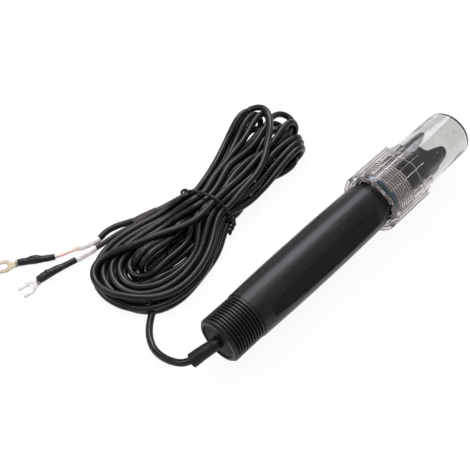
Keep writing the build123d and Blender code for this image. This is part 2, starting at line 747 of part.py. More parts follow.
for name, solid in nodes.items():
    export_step(solid, "parts/" + name + ".step")
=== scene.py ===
import bpy
import math
import numpy as np
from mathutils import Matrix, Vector


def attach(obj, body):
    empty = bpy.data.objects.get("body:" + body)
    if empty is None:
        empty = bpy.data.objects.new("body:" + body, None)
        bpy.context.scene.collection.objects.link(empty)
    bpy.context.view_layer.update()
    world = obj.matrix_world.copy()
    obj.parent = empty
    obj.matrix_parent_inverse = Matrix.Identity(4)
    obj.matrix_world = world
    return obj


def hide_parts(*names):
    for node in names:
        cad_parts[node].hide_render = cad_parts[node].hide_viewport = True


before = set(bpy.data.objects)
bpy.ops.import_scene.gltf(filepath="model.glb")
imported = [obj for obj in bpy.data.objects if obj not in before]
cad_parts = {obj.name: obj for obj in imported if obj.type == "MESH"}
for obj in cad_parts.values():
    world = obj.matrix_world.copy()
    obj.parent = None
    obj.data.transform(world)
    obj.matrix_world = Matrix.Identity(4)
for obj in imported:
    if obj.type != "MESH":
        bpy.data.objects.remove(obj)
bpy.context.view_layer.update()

# An in-line pH electrode with its storage bottle on and its cable tied in a hank. Places
# along the probe are stations in millimetres from its rear face, as in the part's source.
# Blender's lengths are metres, and its origin is on the floor below the probe's middle.

MM = 0.001
MIDDLE_STATION = 100.0
AXIS_Z = 18.6
TINY = 1e-6


def spot(station, y, z):
    """A station, y and z in millimetres as a place in the scene."""
    return ((station - MIDDLE_STATION) * MM, y * MM, z * MM)


def station_of(x):
    """The station in millimetres of an x in the scene."""
    return x / MM + MIDDLE_STATION


# Camera at the photograph's angle.

CAMERA_PLACE = (-0.2281, -0.1352, 0.3551)
CAMERA_TARGET = (-0.0360, 0.0496, 0.0)
CAMERA_LENS = 58.7
CAMERA_SENSOR = 36.0
CAMERA_NEAR = 0.01


def add_camera():
    data = bpy.data.cameras.new("camera")
    data.lens = CAMERA_LENS
    data.sensor_width = CAMERA_SENSOR
    data.clip_start = CAMERA_NEAR
    camera = bpy.data.objects.new("camera", data)
    bpy.context.scene.collection.objects.link(camera)
    camera.location = CAMERA_PLACE
    look = Vector(CAMERA_TARGET) - Vector(CAMERA_PLACE)
    camera.rotation_euler = look.to_track_quat("-Z", "Y").to_euler()
    bpy.context.scene.camera = camera


add_camera()

# The cable: out of the sleeve, down to the floor and into the hank, round its turns and out
# to the split.

CABLE_D = 4.0
TIE_STATION = 63.5

# The last place of the lead and the first of the tail are in the hank.
LEAD_ROUTE = [
    (-12.8, 4.3, 12.2), (-16.6, 6.4, 10.9), (-19.0, 10.4, 9.0), (-20.8, 17.6, 6.2),
    (-20.4, 26.9, 3.6), (-15.9, 35.6, 2.3), (-8.8, 42.2, 2.4), (-0.6, 46.6, 3.4),
]
TAIL_ROUTE = [
    (68.0, 84.5, 7.5), (58.6, 88.6, 5.6), (50.6, 91.6, 3.1), (42.0, 93.4, 3.1),
]
INTO_HANK = [
    (8.0, 52.0, 2.6), (18.0, 60.0, 2.2), (27.0, 66.5, 2.2), (37.0, 68.0, 2.2), (47.0, 67.0, 2.4),
]

# Each turn crosses the waist outwards at its first (y, z), folds back at its tip and comes
# back through at its second (y, z). A tip is station, y, z and half the fold across and up.
TURNS = [
    ((65.7, 3.4), (136.0, 89.0, 2.8, 6.0, 0.3), (82.9, 3.4)),
    ((54.95, 6.95), (139.5, 103.0, 6.3, 1.4, 3.8), (82.9, 10.5)),
    ((57.1, 10.5), (137.5, 64.2, 7.0, 1.8, -4.0), (80.75, 6.95)),
    ((57.1, 3.4), (138.3, 97.3, 7.0, 1.2, 4.2), (78.6, 10.5)),
    ((61.4, 10.5), (140.5, 68.6, 7.0, 1.6, -4.2), (78.6, 3.4)),
    ((59.25, 6.95), (144.9, 91.9, 7.5, 1.4, 4.4), (76.45, 14.05)),
    ((63.55, 14.05), (142.5, 72.8, 9.0, 1.2, -4.4), (76.45, 6.95)),
    ((61.4, 3.4), (154.0, 82.6, 9.5, 5.6, 2.4), (72.15, 14.05)),
    ((67.85, 14.05), (145.0, 78.4, 9.0, 1.2, -4.6), (74.3, 3.4)),
    ((63.55, 6.95), (146.5, 84.2, 5.0, 4.4, 1.6), (74.3, 10.5)),
    ((70.0, 10.5), (137.0, 75.5, 5.5, 4.2, -1.8), (72.15, 6.95)),
    ((65.7, 10.5), (133.5, 69.0, 4.5, 4.4, -1.2), (70.0, 3.4)),
    ((67.85, 6.95), (147.0, 75.2, 11.0, 1.4, 4.6), (65.7, 17.6)),
]

# The last turn's fold is a wide loop that lies over the others.
LAST_OUT = (59.25, 14.05)
LAST_TIP_Y = 62.0
LAST_FOLD = [
    (84.0, 62.6, 17.8), (95.0, 63.6, 17.6), (105.5, 66.0, 17.4), (116.0, 71.5, 17.0),
    (126.5, 78.5, 16.6), (133.5, 85.5, 16.0), (138.5, 93.0, 15.0), (140.8, 99.0, 14.2),
    (139.5, 104.0, 13.2), (134.5, 106.5, 12.2), (127.5, 105.0, 11.0), (117.0, 100.0, 10.0),
    (106.0, 95.0, 9.6), (96.0, 90.6, 9.2), (84.0, 87.5, 8.6),
]

# At the probe's end the turns are open loops between an outer and an inner outline. Each
# row is the loop's share from outer to inner, its shift in station and y, and its height.
# Two more stand upright in the middle: out above, and back to the tie along the floor.
OUTER_LOOP = [
    (33, 87.5), (24, 89.5), (15, 90.5), (0, 89), (-9, 85), (-14, 78), (-15.5, 68), (-14.5, 60),
    (-11, 51.5), (-4, 44.5), (8, 40.5), (21, 41), (33, 44),
]
INNER_LOOP = [
    (42, 72), (34, 72), (27, 72.5), (20, 75), (13, 76), (8, 72.5), (7, 68), (9, 63.5), (15, 61),
    (22, 62), (28, 63), (34, 63), (42, 63),
]
LOOPS = [
    (0.06, 0.0, 0.0, 2.4), (0.0, 0.0, -0.5, 7.5), (0.21, 0.0, 0.0, 2.4), (0.13, 0.0, 0.5, 8.5),
    (0.41, 0.0, 0.0, 2.5), (0.31, 1.0, 0.0, 10.5), (0.63, 0.0, 0.0, 2.6), (0.52, 0.0, -1.0, 10.5),
    (0.86, 0.0, 0.0, 2.8), (0.85, 0.0, 0.0, 7.0),
    [(44, 74, 9.5), (35, 72.4, 10.5), (26, 71.4, 11.0), (17, 70.8, 11.0), (9, 70.0, 10.5),
     (3.0, 69.6, 6.6), (9, 69.6, 2.6), (17, 69.8, 2.3), (26, 69.8, 2.2), (35, 69.2, 2.2),
     (44, 68.0, 2.4)],
    [(44, 68, 8.0), (35, 66.6, 10.5), (26, 66.0, 11.0), (17, 65.6, 11.0), (9, 65.0, 10.5),
     (3.0, 64.6, 6.6), (9, 64.6, 2.6), (17, 64.8, 2.3), (26, 64.8, 2.2), (35, 64.2, 2.2),
     (44, 63.0, 2.4)],
]
LAST_LOOP = [
    (52.0, 64.0, 18.8), (40.1, 67.5, 17.8), (27.6, 71.8, 16.5), (14.1, 77.3, 15.0),
    (0.4, 83.8, 12.5), (-8.0, 86.5, 11.0), (-13.5, 82.0, 11.5), (-15.5, 74.0, 13.0),
    (-14.0, 64.5, 14.5), (-7.7, 52.8, 15.0), (1.9, 44.2, 14.5), (14.4, 40.9, 14.5),
    (27.0, 42.0, 15.0), (39.2, 46.1, 15.5), (50.0, 52.0, 15.0),
]

# Beside the tie the turns fan out from its middle, towards the loops by one share of their
# distance from it and towards their own tips by another.
WAIST_STEP = 7.0
WAIST_MIDDLE_Y = 70.0
FAN_TO_LOOPS = 0.22
FAN_TO_TIPS = 0.055
# A fold's two runs end this far before its tip, and its corners lie near the tip.
FOLD_BACK = 9.0
FOLD_SHARES = (0.25, 0.5, 0.75, 1.0)
CORNER_BACK = 1.8
CORNER_SHARE = 0.7


def waist(slot, side, tip_y):
    """Three places through the tie, outwards for side 1 and back for side -1."""
    places = []
    for off in (-side * WAIST_STEP, 0.0, side * WAIST_STEP):
        y = slot[0]
        if off < 0:
            y += FAN_TO_LOOPS * (slot[0] - WAIST_MIDDLE_Y)
        elif off > 0:
            y += FAN_TO_TIPS * (tip_y - slot[0])
        places.append((TIE_STATION + off, y, slot[1]))
    return places


def fold_run(slot, tip, side):
    """One run of a fold, from its slot in the tie to one side of the tip."""
    station, y, z, across, up = tip
    reach = station - FOLD_BACK - TIE_STATION
    places = []
    for share in FOLD_SHARES:
        ease = 0.5 * share + 0.5 * share * share * (3 - 2 * share)
        places.append((TIE_STATION + reach * share, slot[0] + ease * (y + side * across - slot[0]),
                       slot[1] + ease * (z + side * up - slot[1])))
    return places


def fold(out, tip, back):
    """Round the far end: out along one side, over the tip, back along the other."""
    station, y, z, across, up = tip
    corners = [(station - CORNER_BACK, y + side * CORNER_SHARE * across,
                z + side * CORNER_SHARE * up) for side in (-1, 1)]
    over = [corners[0], (station, y, z), corners[1]]
    return fold_run(out, tip, -1) + over + fold_run(back, tip, 1)[::-1]


def open_loop(row):
    """A loop's places: its own where they are listed, or else between the two outlines."""
    if isinstance(row, list):
        return row
    share, along, across, height = row
    return [(a[0] + share * (b[0] - a[0]) + along, a[1] + share * (b[1] - a[1]) + across, height)
            for a, b in zip(OUTER_LOOP, INNER_LOOP)]


def wound_points():
    """The hank's turns in the order that they were wound, from the lead to the tail."""
    points = list(INTO_HANK)
    for (out, tip, back), loop in zip(TURNS, LOOPS + [LAST_LOOP]):
        points += waist(out, 1, tip[1]) + fold(out, tip, back) + waist(back, -1, tip[1])
        points += open_loop(loop)
    return points + waist(LAST_OUT, 1, LAST_TIP_Y) + LAST_FOLD


SPAN_STEPS = 12


def even_points(places, step):
    """The smooth line through the places, with points a step apart."""
    p = np.array(places, float)
    ends = np.vstack([2 * p[0] - p[1], p, 2 * p[-1] - p[-2]])
    line = []
    for i in range(1, len(ends) - 2):
        a, b, c, d = ends[i - 1:i + 3]
        for t in np.linspace(0, 1, SPAN_STEPS, endpoint=False):
            bend = t * (2 * a - 5 * b + 4 * c - d + t * (3 * (b - c) + d - a))
            line.append(b + 0.5 * t * (c - a + bend))
    line = np.array(line + [p[-1]])
    run = np.concatenate([[0], np.cumsum(np.linalg.norm(np.diff(line, axis=0), axis=1))])
    count = int(round(run[-1] / step)) + 1
    marks = np.linspace(0, run[-1], count)
    return np.column_stack([np.interp(marks, run, line[:, k]) for k in range(3)])


# How the turns settle. Lengths are millimetres, and a share is the part of a move that one
# pass makes. Near pairs are looked for afresh every few rounds.
SETTLE_ROUNDS = 130
SETTLE_PASSES = 3
SEARCH_EVERY = 8
APART = 1.05 * CABLE_D
NEAR_MARGIN = 2.5
SAME_STRETCH = 4
SINK = 0.03
EASE_ROUNDS = 30
EASE_SHARE = 0.06
EASE_OFTEN, EASE_SELDOM, EASE_OFTEN_UNTIL = 8, 3, 0.7
PUSH_SHARE = 0.3
BEND_SHARE = 0.25
STRETCH_SHARE = 0.6
# points so many steps apart stay at least this share of those steps from each other
LEAST_SPANS = ((2, 0.955), (4, 0.80))
HELD_AT_TIE = 4.5


def bend_of(line):
    """How far each place but two at each end stands out of the curve of its neighbours."""
    return line[:-4] - 4 * line[1:-3] + 6 * line[2:-2] - 4 * line[3:-1] + line[4:]


def push_apart(p, free, a, b):
    """Near pairs of points push each other away."""
    gap = p[b] - p[a]
    far = np.linalg.norm(gap, axis=1)
    push = np.where(far < APART, (APART - far) / np.maximum(far, TINY), 0.0)
    push = push[:, None] * gap * PUSH_SHARE
    np.add.at(p, a, -push * free[a])
    np.add.at(p, b, push * free[b])


def keep_curves_open(p, free, step):
    """The cable is stiff: no curve becomes sharper than the least spans allow."""
    for reach, share in LEAST_SPANS:
        least = share * reach * step
        gap = p[reach:] - p[:-reach]
        far = np.linalg.norm(gap, axis=1)[:, None]
        push = np.where(far < least, (least - far) / far * BEND_SHARE, 0.0) * gap
        p[reach:] += push * free[reach:]
        p[:-reach] -= push * free[:-reach]


def keep_length(p, free, step):
    """Points next to each other stay a step apart, the even pairs first."""
    for odd in (0, 1):
        i = np.arange(odd, len(p) - 1, 2)
        gap = p[i + 1] - p[i]
        far = np.linalg.norm(gap, axis=1)[:, None]
        share = free[i] + free[i + 1]
        pull = np.where(share > 0, (far - step) / np.maximum(share, 1) * STRETCH_SHARE, 0.0)
        pull = pull * gap / far
        p[i] += pull * free[i]
        p[i + 1] -= pull * free[i + 1]


def settle(points, held, step):
    """Lets the turns sink and lie on each other and the floor, as stiff cable does."""
    free = np.where(held, 0.0, 1.0)[:, None]
    start = points.copy()
    for _ in range(EASE_ROUNDS):
        start[2:-2] -= EASE_SHARE * free[2:-2] * bend_of(start)
    p = start.copy()
    for turn in range(SETTLE_ROUNDS):
        if turn % SEARCH_EVERY == 0:
            gap = p[:, None, :] - p[None, :, :]
            near = (gap * gap).sum(axis=2) < (APART + NEAR_MARGIN) ** 2
            a, b = np.nonzero(np.triu(near, SAME_STRETCH))
        p[:, 2] -= SINK * free[:, 0]
        shift = p - start
        often = turn < EASE_OFTEN_UNTIL * SETTLE_ROUNDS
        for _ in range(EASE_OFTEN if often else EASE_SELDOM):
            shift[2:-2] -= EASE_SHARE * bend_of(shift)
        p = start + shift
        for _ in range(SETTLE_PASSES):
            push_apart(p, free, a, b)
            keep_curves_open(p, free, step)
            keep_length(p, free, step)
            p[:, 2] = np.maximum(p[:, 2], np.where(held, p[:, 2], CABLE_D / 2))
        p = np.where(held[:, None], start, p)
    return p


def bare_scene():
    """Nothing selected, so that an operator acts only on what is added next."""
    if bpy.context.object and bpy.context.object.mode != "OBJECT":
        bpy.ops.object.mode_set(mode="OBJECT")
    bpy.ops.object.select_all(action="DESELECT")


# Finishes. What several of them share is a node group, made once.

# a Mix node's sockets for numbers and for colours
MIX_A, MIX_B, MIX_COLOUR_A, MIX_COLOUR_B, MIX_COLOUR_OUT = 2, 3, 6, 7, 2
DUST_COLOUR = (0.35, 0.35, 0.36, 1.0)
DUST_DULLS = 0.4
SUBSURFACE_DEPTH = 0.001


def add_node(tree, kind, operation=None, group=None, **inputs):
    """A new shader node with its named inputs set."""
    node = tree.nodes.new("ShaderNode" + kind)
    if operation:
        node.operation = operation
    if group:
        node.node_tree = group
    for name, value in inputs.items():
        node.inputs[name.replace("_", " ")].default_value = value
    return node


def colour_mix(tree):
    node = add_node(tree, "Mix")
    node.data_type = "RGBA"
    return node


def new_group(name, inputs, outputs):
    """A node group for numbers, with the node that gives its inputs and the one for its outputs."""
    tree = bpy.data.node_groups.new(name, "ShaderNodeTree")
    for label, value in inputs.items():
        socket = tree.interface.new_socket(name=label, in_out="INPUT",
                                           socket_type="NodeSocketFloat")
        socket.default_value = value
    for label in outputs:
        tree.interface.new_socket(name=label, in_out="OUTPUT", socket_type="NodeSocketFloat")
    return tree, tree.nodes.new("NodeGroupInput"), tree.nodes.new("NodeGroupOutput")


def make_grain_group():
    """Fine moulded grain as a height, with broad unevenness under it."""
    sizes = {"Grain Size": 900.0, "Broad Size": 60.0, "Broad Share": 0.5}
    tree, given, result = new_group("moulded_grain", sizes, ("Height", "Patches"))
    link = tree.links.new
    place = add_node(tree, "TexCoord")
    fine = add_node(tree, "TexNoise", Detail=3.0)
    broad = add_node(tree, "TexNoise", Detail=2.0)
    mix = add_node(tree, "Mix")
    for noise, size in ((fine, "Grain Size"), (broad, "Broad Size")):
        link(place.outputs["Object"], noise.inputs["Vector"])
        link(given.outputs[size], noise.inputs["Scale"])
    link(given.outputs["Broad Share"], mix.inputs["Factor"])
    link(fine.outputs["Fac"], mix.inputs[MIX_A])
    link(broad.outputs["Fac"], mix.inputs[MIX_B])
    link(mix.outputs[0], result.inputs["Height"])
    link(broad.outputs["Fac"], result.inputs["Patches"])
    return tree


def make_dust_group():
    """Sparse pale specks and faint smears as a mask."""
    sizes = {"Speck Size": 350.0, "Amount": 0.5}
    tree, given, result = new_group("dust_and_smears", sizes, ("Mask",))
    link = tree.links.new
    place = add_node(tree, "TexCoord")
    speck = add_node(tree, "TexNoise", Detail=4.0)
    smear = add_node(tree, "TexNoise", Scale=40.0, Detail=5.0)
    cut = add_node(tree, "MapRange", From_Min=0.66, From_Max=0.76)
    soft = add_node(tree, "MapRange", From_Min=0.45, From_Max=0.80, To_Max=0.35)
    high = add_node(tree, "Math", "MAXIMUM")
    scaled = add_node(tree, "Math", "MULTIPLY")
    link(place.outputs["Object"], speck.inputs["Vector"])
    link(place.outputs["Object"], smear.inputs["Vector"])
    link(given.outputs["Speck Size"], speck.inputs["Scale"])
    link(speck.outputs["Fac"], cut.inputs["Value"])
    link(smear.outputs["Fac"], soft.inputs["Value"])
    link(cut.outputs["Result"], high.inputs[0])
    link(soft.outputs["Result"], high.inputs[1])
    link(high.outputs[0], scaled.inputs[0])
    link(given.outputs["Amount"], scaled.inputs[1])
    link(scaled.outputs[0], result.inputs["Mask"])
    return tree


GRAIN = make_grain_group()
DUST = make_dust_group()


def dusted(tree, colour_out, rough_out, amount):
    """The colour and roughness outputs with dust over them."""
    link = tree.links.new
    film = add_node(tree, "Group", group=DUST, Amount=amount)
    over = colour_mix(tree)
    over.inputs[MIX_COLOUR_B].default_value = DUST_COLOUR
    link(film.outputs["Mask"], over.inputs["Factor"])
    link(colour_out, over.inputs[MIX_COLOUR_A])
    dull = add_node(tree, "Math", "MULTIPLY_ADD")
    dull.inputs[1].default_value = DUST_DULLS
    link(film.outputs["Mask"], dull.inputs[0])
    link(rough_out, dull.inputs[2])
    return over.outputs[MIX_COLOUR_OUT], dull.outputs[0]


def finish_of(name, colour, second, rough, bump=0.1, depth=0.0002, grain=900.0, broad=60.0,
              broad_share=0.5, patch_rough=0.08, dust=0.0, metallic=0.0, ior=1.5,
              transmission=0.0, subsurface=0.0, shine=0.5):
    """A finish with two close colours in patches, uneven gloss, fine grain and some dust."""
    material = bpy.data.materials.new(name)
    material.use_nodes = True
    tree = material.node_tree
    link = tree.links.new
    shader = tree.nodes["Principled BSDF"]
    for label, value in (("Metallic", metallic), ("IOR", ior),
                         ("Transmission Weight", transmission), ("Subsurface Weight", subsurface),
                         ("Subsurface Scale", SUBSURFACE_DEPTH), ("Specular IOR Level", shine)):
        shader.inputs[label].default_value = value
    marks = add_node(tree, "Group", group=GRAIN, Grain_Size=grain, Broad_Size=broad,
                     Broad_Share=broad_share)
    spread = add_node(tree, "MapRange", From_Min=0.35, From_Max=0.65)
    link(marks.outputs["Patches"], spread.inputs["Value"])
    blend = colour_mix(tree)
    blend.inputs[MIX_COLOUR_A].default_value = (*colour, 1.0)
    blend.inputs[MIX_COLOUR_B].default_value = (*second, 1.0)
    link(spread.outputs["Result"], blend.inputs["Factor"])
    gloss = add_node(tree, "MapRange", To_Min=rough - patch_rough, To_Max=rough + patch_rough)
    link(spread.outputs["Result"], gloss.inputs["Value"])
    colour_out, rough_out = blend.outputs[MIX_COLOUR_OUT], gloss.outputs["Result"]
    if dust:
        colour_out, rough_out = dusted(tree, colour_out, rough_out, dust)
    link(colour_out, shader.inputs["Base Color"])
    link(rough_out, shader.inputs["Roughness"])
    relief = add_node(tree, "Bump", Strength=bump, Distance=depth)
    link(marks.outputs["Height"], relief.inputs["Height"])
    link(relief.outputs["Normal"], shader.inputs["Normal"])
    return material


# how much the barrel reflects, all round and in its label recess
BARREL_SHINE, RECESS_SHINE = 0.265, 0.10

BARREL = finish_of("barrel_plastic", (0.0040, 0.0040, 0.0052), (0.0055, 0.0052, 0.0062), 0.34,
                   bump=0.10, depth=0.0001, grain=2600, broad=25, broad_share=0.2, patch_rough=0.04,
                   dust=0.03, shine=BARREL_SHINE)
POTTING = finish_of("potting_epoxy", (0.0045, 0.0045, 0.005), (0.0065, 0.0065, 0.007), 0.55,
                    bump=0.25, depth=0.0003, grain=500, broad=120, dust=0.03, shine=0.14)
CLEAR = finish_of("clear_plastic", (0.78, 0.772, 0.76), (0.72, 0.712, 0.70), 0.04, bump=0.3,
                  depth=0.0004, grain=160, broad=70, broad_share=0.8, patch_rough=0.03, ior=1.49,
                  transmission=1.0)
THICK = finish_of("clear_plastic_thick", (0.64, 0.61, 0.60), (0.59, 0.56, 0.545), 0.05, bump=0.12,
                  depth=0.0002, grain=260, broad=70, broad_share=0.8, patch_rough=0.03, ior=1.49,
                  transmission=1.0)
# The thread faces get a pale, part-opaque painted reflection: painted bright lines in place of what
# the clear thread reflects.
THREAD_PAINTED_REFLECTION = finish_of("thread_painted_reflection", (0.86, 0.79, 0.765), (0.74, 0.68, 0.665), 0.25, bump=0.3,
                        depth=0.0002, grain=900, broad=150, patch_rough=0.08, ior=1.49,
                        transmission=0.32)
SOLUTION = finish_of("storage_solution", (0.97, 0.97, 0.96), (0.95, 0.96, 0.96), 0.01, bump=0.02,
                     depth=0.0001, patch_rough=0.01, ior=1.34, transmission=1.0)
SENSING = finish_of("sensing_glass", (0.93, 0.97, 0.99), (0.90, 0.96, 0.98), 0.02, bump=0.05,
                    depth=0.0001, patch_rough=0.01, ior=1.5, transmission=1.0)
POROUS = finish_of("porous_ptfe", (0.70, 0.70, 0.68), (0.60, 0.60, 0.57), 0.75, bump=0.6,
                   depth=0.0002, grain=2500)
GEL = finish_of("gel", (0.55, 0.52, 0.42), (0.50, 0.48, 0.40), 0.30, subsurface=0.3)
SILVER = finish_of("silver", (0.62, 0.60, 0.58), (0.40, 0.39, 0.38), 0.38, metallic=1.0, bump=0.2)
CORK = finish_of("cork_rubber", (0.05, 0.05, 0.052), (0.07, 0.07, 0.07), 0.7, bump=0.4)
BLUE = finish_of("blue_silicone", (0.045, 0.14, 0.24), (0.06, 0.17, 0.28), 0.42, bump=0.3,
                 grain=1500, subsurface=0.1)
SEAL = finish_of("black_seal", (0.002, 0.002, 0.002), (0.003, 0.003, 0.003), 0.6, bump=0.25,
                 grain=1500, shine=0.08)
SLEEVE = finish_of("black_sleeve", (0.0050, 0.0050, 0.0056), (0.0075, 0.0075, 0.0080), 0.38,
                   bump=0.35, depth=0.0003, grain=700, broad=150, dust=0.05, shine=0.25)
WRINKLED = finish_of("shrunk_sleeve", (0.0060, 0.0055, 0.0058), (0.010, 0.0088, 0.0090), 0.36,
                     bump=1.0, depth=0.0008, grain=420, broad=260, broad_share=0.7, dust=0.05,
                     shine=0.3)
JACKET = finish_of("black_cable", (0.0034, 0.0034, 0.0038), (0.0046, 0.0046, 0.0050), 0.25,
                   bump=0.15, depth=0.0002, grain=1400, broad=200, dust=0.04, shine=0.31)
TIE = finish_of("tie_black", (0.008, 0.008, 0.008), (0.012, 0.012, 0.012), 0.4, bump=0.3, grain=900,
                shine=0.25)
SPLIT = finish_of("split_shrink", (0.018, 0.013, 0.014), (0.025, 0.018, 0.019), 0.42, bump=0.4,
                  depth=0.0003, grain=600, broad=180, shine=0.25)
PINK = finish_of("inner_wire", (0.74, 0.50, 0.44), (0.80, 0.60, 0.54), 0.38, bump=0.1,
                 subsurface=0.4, broad=150)
SHIELD = finish_of("shield_wire", (0.022, 0.014, 0.014), (0.030, 0.020, 0.019), 0.45, bump=0.3,
                   broad=150, shine=0.25)
MARKER = finish_of("white_marker", (0.78, 0.75, 0.73), (0.68, 0.645, 0.625), 0.5, bump=0.3,
                   broad=320, subsurface=0.1)
TIN_WARM = finish_of("tin_warm", (0.40, 0.35, 0.26), (0.34, 0.29, 0.21), 0.52, metallic=1.0,
                     bump=0.12, grain=800, broad=200, patch_rough=0.06)
TIN_BRIGHT = finish_of("tin_bright", (0.42, 0.412, 0.405), (0.36, 0.35, 0.345), 0.50, metallic=1.0,
                       bump=0.12, grain=800, broad=200, patch_rough=0.06)

# The flat of the barrel's label recess is duller than the turned barrel round it. It is
# known by the way that it faces, in y and z.
RECESS_FACING = (-0.829, 0.559)
RECESS_MATCH = 0.9994


def dull_recess():
    tree = BARREL.node_tree
    link = tree.links.new
    place = add_node(tree, "TexCoord")
    facing = add_node(tree, "VectorMath", "DOT_PRODUCT")
    facing.inputs[1].default_value = (0.0, *RECESS_FACING)
    link(place.outputs["Normal"], facing.inputs[0])
    flat = add_node(tree, "Math", "GREATER_THAN")
    flat.inputs[1].default_value = RECESS_MATCH
    link(facing.outputs["Value"], flat.inputs[0])
    shine = add_node(tree, "MapRange", To_Min=BARREL_SHINE, To_Max=RECESS_SHINE)
    link(flat.outputs[0], shine.inputs["Value"])
    link(shine.outputs["Result"], tree.nodes["Principled BSDF"].inputs["Specular IOR Level"])


dull_recess()

NODE_FINISHES = {
    "housing": BARREL, "potting_plug": POTTING, "glass_stem": SENSING, "glass_bulb": SENSING,
    "junction_ring": POROUS, "reference_gel": GEL, "reference_wire": SILVER, "stem_cork": CORK,
    "silver_wire": SILVER, "storage_bottle": CLEAR, "blue_ring": BLUE, "seal_ring": SEAL,
    "strain_relief": SLEEVE, "cable_root": JACKET, "cable_lead": JACKET, "cable_coil": JACKET,
    "cable_tail": JACKET, "twist_tie": TIE, "split_sleeve": SPLIT, "signal_core": PINK,
    "signal_tube": SLEEVE, "signal_marker": MARKER, "signal_shrink": SLEEVE,
    "signal_fork": TIN_WARM, "shield_core": SHIELD, "shield_marker": MARKER,
    "shield_shrink": SLEEVE, "shield_fork": TIN_BRIGHT,
}


def dress_nodes():
    for name, material in NODE_FINISHES.items():
        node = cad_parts[name]
        for slot in node.material_slots:
            slot.material = material


dress_nodes()


def smooth_cord(name, places, radius, material, steps=3, round_steps=4):
    """A cord as one open spline whose control points are the places, in millimetres."""
    data = bpy.data.curves.new(name, "CURVE")
    data.dimensions = "3D"
    data.bevel_depth = radius * MM
    data.bevel_resolution = round_steps
    data.use_fill_caps = True
    spline = data.splines.new("NURBS")
    spline.points.add(len(places) - 1)
    for point, place in zip(spline.points, places):
        point.co = (*spot(*place), 1.0)
    spline.order_u = 3
    spline.use_endpoint_u = True
    spline.resolution_u = steps
    data.materials.append(material)
    cord = bpy.data.objects.new(name, data)
    bpy.context.scene.collection.objects.link(cord)
    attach(cord, "probe")
    return cord


def line_length(line):
    return float(np.linalg.norm(np.diff(np.array(line), axis=0), axis=1).sum())


def make_cable():
    """The whole cable as one cord, and its length in metres."""
    step = CABLE_D
    hank = even_points(LEAD_ROUTE[-1:] + wound_points() + TAIL_ROUTE[:1], step)
    held = np.abs(hank[:, 0] - TIE_STATION) < HELD_AT_TIE
    held[:2] = True
    held[-2:] = True
    hank = settle(hank, held, step)
    places = LEAD_ROUTE[:-1] + [tuple(p) for p in hank] + TAIL_ROUTE[1:]
    cable = smooth_cord("cable", places, CABLE_D / 2, JACKET)
    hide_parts("cable_lead", "cable_coil", "cable_tail")
    return cable, line_length(places) * MM


cable, cable_length = make_cable()

# The two leads that the cable divides into, with what is pushed or shrunk over them.

SIGNAL_ROUTE = [
    (29.1, 97.7, 3.1), (25.2, 99.3, 2.9), (20.4, 102.2, 2.5), (13.0, 103.8, 2.4),
    (6.6, 102.2, 2.5), (0.6, 103.8, 2.2), (-6.0, 106.6, 2.1), (-15.8, 109.4, 2.1),
    (-22.0, 113.0, 2.1), (-28.4, 118.0, 2.1), (-36.6, 123.4, 2.1),
]
SHIELD_ROUTE = [
    (28.5, 94.7, 3.1), (24.6, 95.6, 2.9), (16.4, 98.0, 2.0), (6.0, 98.7, 1.7), (-5.0, 99.8, 2.1),
    (-17.0, 101.8, 2.1), (-24.5, 104.0, 2.1), (-35.5, 104.9, 2.1),
]
SIGNAL_R, SHIELD_R = 1.0, 1.5
LEAD_STEPS = 8
# Where a shrunk tube swells over its fork's barrel: shares of its length, and of its radius.
SIGNAL_SWELL = ((0.0, 0.30, 0.42, 0.50, 0.60, 0.72, 1.0), (1.0, 1.10, 1.30, 1.45, 1.38, 1.18, 1.12))
SHIELD_SWELL = ((0.0, 0.35, 0.55, 0.70, 0.74, 0.78, 0.90, 1.0),
                (1.0, 1.08, 1.22, 1.30, 1.50, 1.34, 1.36, 1.42))
# A sleeve's soft lumps: each wave's height, how often it comes, and its share of the phase.
LUMP_WAVES = ((0.5, 7.3, 1.0), (0.3, 17.0, 2.1), (0.2, 31.0, 0.0))
# A sleeve is drawn in at its cut ends, and lies this far above the floor.
CUT_END_SHARE = 0.90
CUT_END_GAIN = 0.5
FLOOR_SHARE, FLOOR_GAP = 1.02, 0.02
SKIN_SMOOTH = math.radians(40.0)


def line_of(cord):
    """The places along a cord's own spline, in metres, read from a copy with no thickness."""
    bare = bpy.data.objects.new("bare_line", cord.data.copy())
    bare.data.bevel_depth = 0.0
    bpy.context.scene.collection.objects.link(bare)
    bpy.context.view_layer.update()
    mesh = bpy.data.meshes.new_from_object(bare)
    places = [v.co.copy() for v in mesh.vertices]
    bpy.data.meshes.remove(mesh)
    bpy.data.curves.remove(bare.data)
    return places


def stretch_of(places, start, end, count):
    """Evenly spaced places on a line between two stations; it runs towards lower ones."""
    p = np.array(places)
    run = np.concatenate([[0], np.cumsum(np.linalg.norm(np.diff(p, axis=0), axis=1))])
    first, last = np.interp([-start, -end], -station_of(p[:, 0]), run)
    marks = np.linspace(first, last, count)
    return np.column_stack([np.interp(marks, run, p[:, k]) for k in range(3)])


